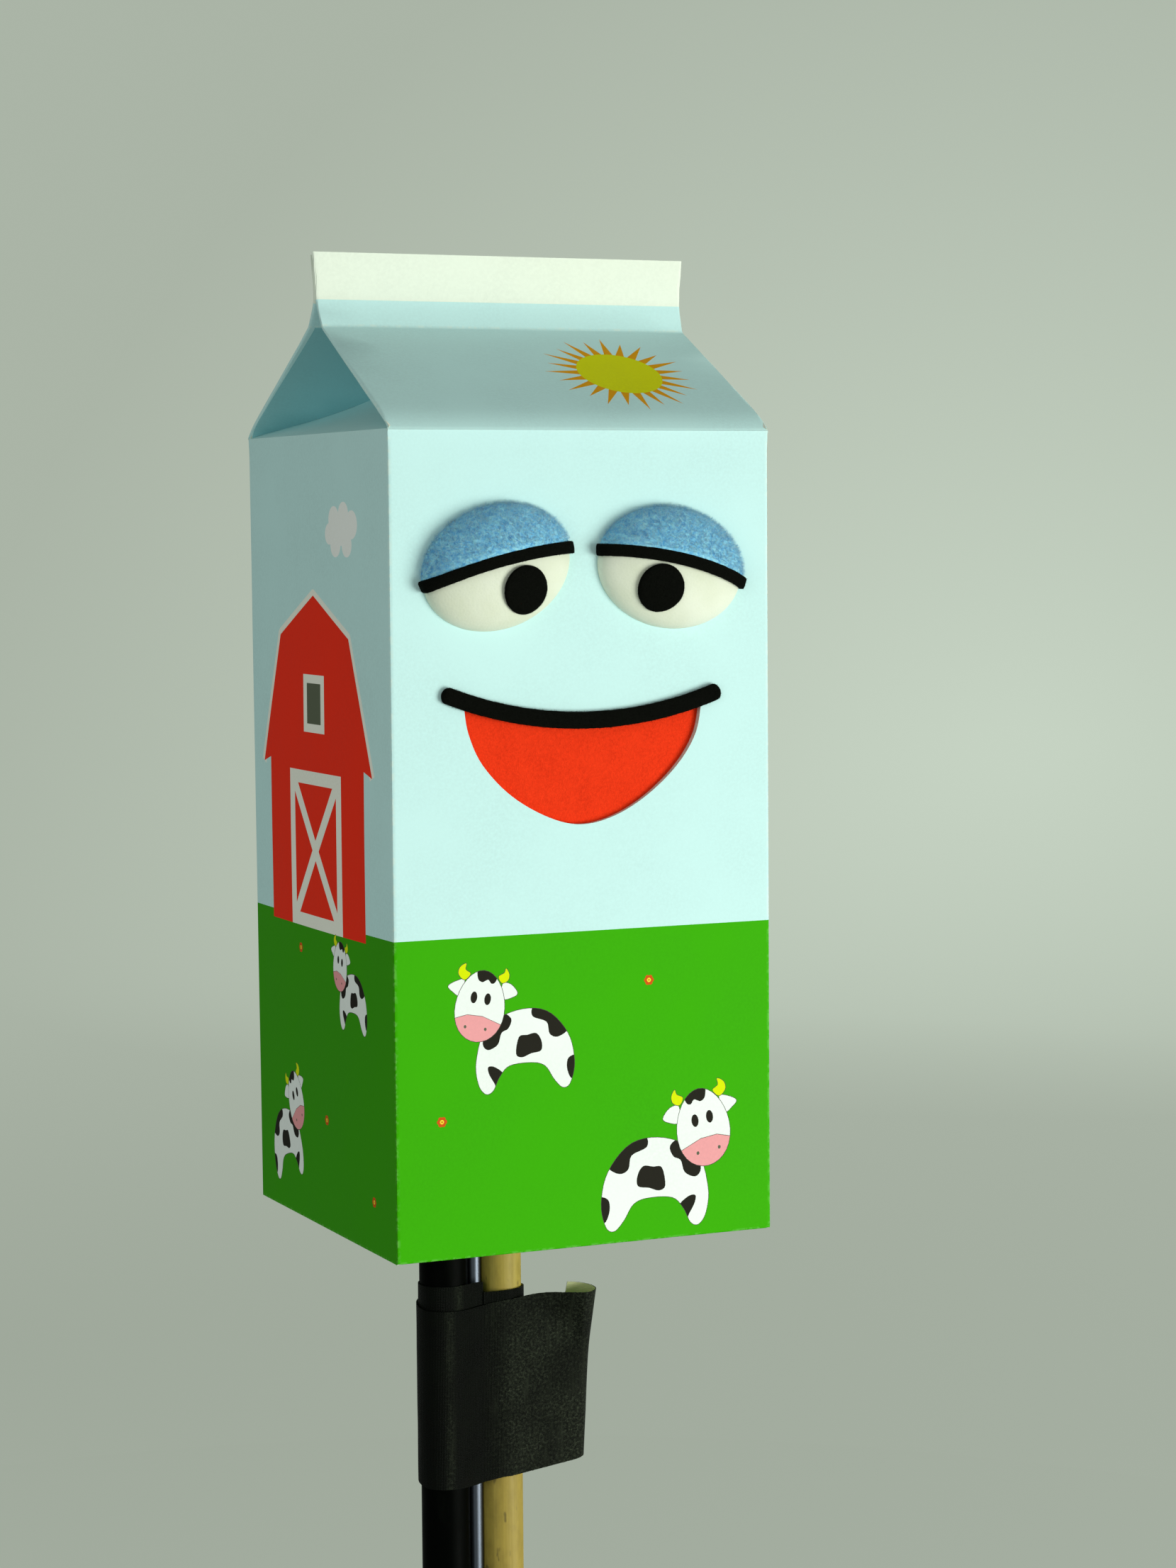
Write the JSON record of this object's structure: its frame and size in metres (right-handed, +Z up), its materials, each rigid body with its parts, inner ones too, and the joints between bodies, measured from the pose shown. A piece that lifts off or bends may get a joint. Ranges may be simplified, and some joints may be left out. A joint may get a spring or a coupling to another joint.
{
  "type": "rod puppet with a milk carton head",
  "caption": "Gable-top milk carton head with felt and foam face on a taped bundle of control rods, with a loose end of cloth tape.",
  "frame": {"origin": "centre of the open lower end of the black tube", "axes": "+Z up along the rods, -Y out of the puppet's face, +X to the right seen from the front"},
  "size_m": [0.1016, 0.1108, 0.4388],
  "materials": {
    "plain_card": "unprinted coated card, off-white",
    "printed_card": "coated card with a satin varnish; sky blue above, grass green below",
    "grey_board": "uncoated grey board",
    "red_felt": "matte wool felt",
    "black_felt": "matte wool felt",
    "eye_foam": "off-white closed-cell foam, matte",
    "blue_fleece": "short fuzzy pile",
    "plywood": "unfinished birch plywood",
    "softwood": "unfinished planed pine",
    "dowel_wood": "unfinished turned hardwood dowel",
    "bright_steel": "bright drawn rod",
    "black_plastic": "black satin tube",
    "gaffer_cloth": "matte black cotton cloth tape"
  },
  "bodies": {
    "head": {"carton_front": "printed_card", "carton_back": "printed_card", "carton_left": "printed_card", "carton_right": "printed_card", "carton_floor": "plain_card", "roof_front": "printed_card", "roof_back": "printed_card", "gable_left": "printed_card", "gable_right": "printed_card", "fin_front": "plain_card", "fin_back": "plain_card", "face_stiffener": "grey_board", "mouth_backing": "red_felt", "upper_lip": "black_felt", "eye_dome_left": "eye_foam", "eye_dome_right": "eye_foam", "eyelid_left": "blue_fleece", "eyelid_right": "blue_fleece", "lash_line_left": "black_felt", "lash_line_right": "black_felt", "pupil_left": "black_felt", "pupil_right": "black_felt", "base_board": "plywood", "rod_block": "softwood", "wooden_dowel": "dowel_wood", "steel_rod": "bright_steel", "pole_tube": "black_plastic", "gaffer_first_strip": "gaffer_cloth", "gaffer_wrap": "gaffer_cloth"},
    "flag": {"gaffer_flag": "gaffer_cloth"}
  },
  "joints": [
    {"name": "flag_swing", "type": "hinge", "parent": "head", "child": "flag", "pos_m": [0.02208, -0.00641, 0.146], "axis": [0, 0, 1], "range_deg": [-80, 75]}
  ]
}
